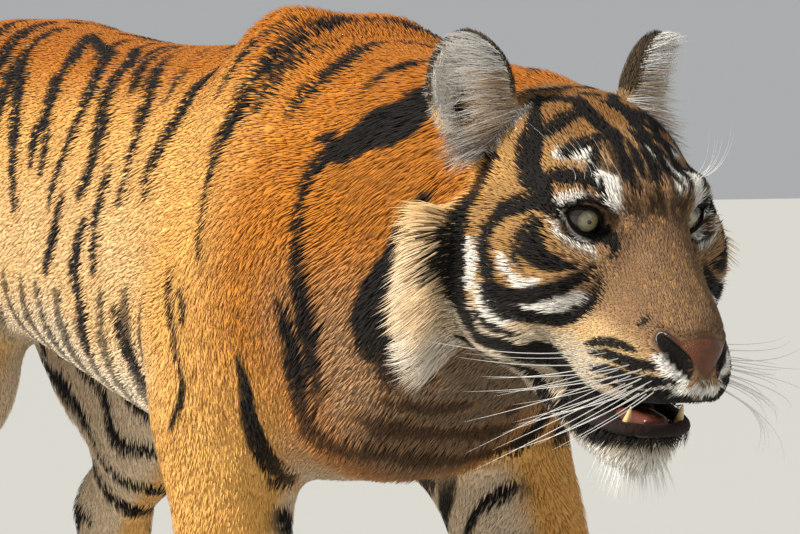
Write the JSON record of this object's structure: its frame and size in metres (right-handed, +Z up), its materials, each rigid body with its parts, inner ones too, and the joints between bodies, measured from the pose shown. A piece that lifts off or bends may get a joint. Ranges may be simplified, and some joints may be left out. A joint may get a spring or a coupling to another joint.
{
  "type": "life-size sumatran tiger model",
  "caption": "Still, life-size model of a walking Sumatran tiger with its head low and its mouth slightly open, standing on its paws.",
  "frame": {"origin": "on the floor, under the middle of the whole tiger's bounding box", "axes": "+X the way the tiger walks, +Y its left side, +Z up"},
  "size_m": [1.9303, 0.3405, 0.6999],
  "materials": {
    "tiger_coat": "short fur, orange with black stripes and cream underparts",
    "nose_leather": "moist bare skin",
    "eye": "glossy",
    "tongue": "moist",
    "tooth": "enamel"
  },
  "bodies": {
    "root": {"head": "tiger_coat", "neck": "tiger_coat", "trunk": "tiger_coat", "ear_right": "tiger_coat", "ear_left": "tiger_coat", "lower_jaw": "tiger_coat", "tail_base": "tiger_coat", "tail_middle": "tiger_coat", "tail_tip": "tiger_coat", "shoulder_right": "tiger_coat", "forearm_right": "tiger_coat", "forepaw_right": "tiger_coat", "thigh_right": "tiger_coat", "shank_right": "tiger_coat", "hindpaw_right": "tiger_coat", "shoulder_left": "tiger_coat", "forearm_left": "tiger_coat", "forepaw_left": "tiger_coat", "thigh_left": "tiger_coat", "shank_left": "tiger_coat", "hindpaw_left": "tiger_coat", "nose": "nose_leather", "eye_right": "eye", "eye_left": "eye", "tongue": "tongue", "canine_right": "tooth", "canine_left": "tooth"}
  },
  "joints": []
}
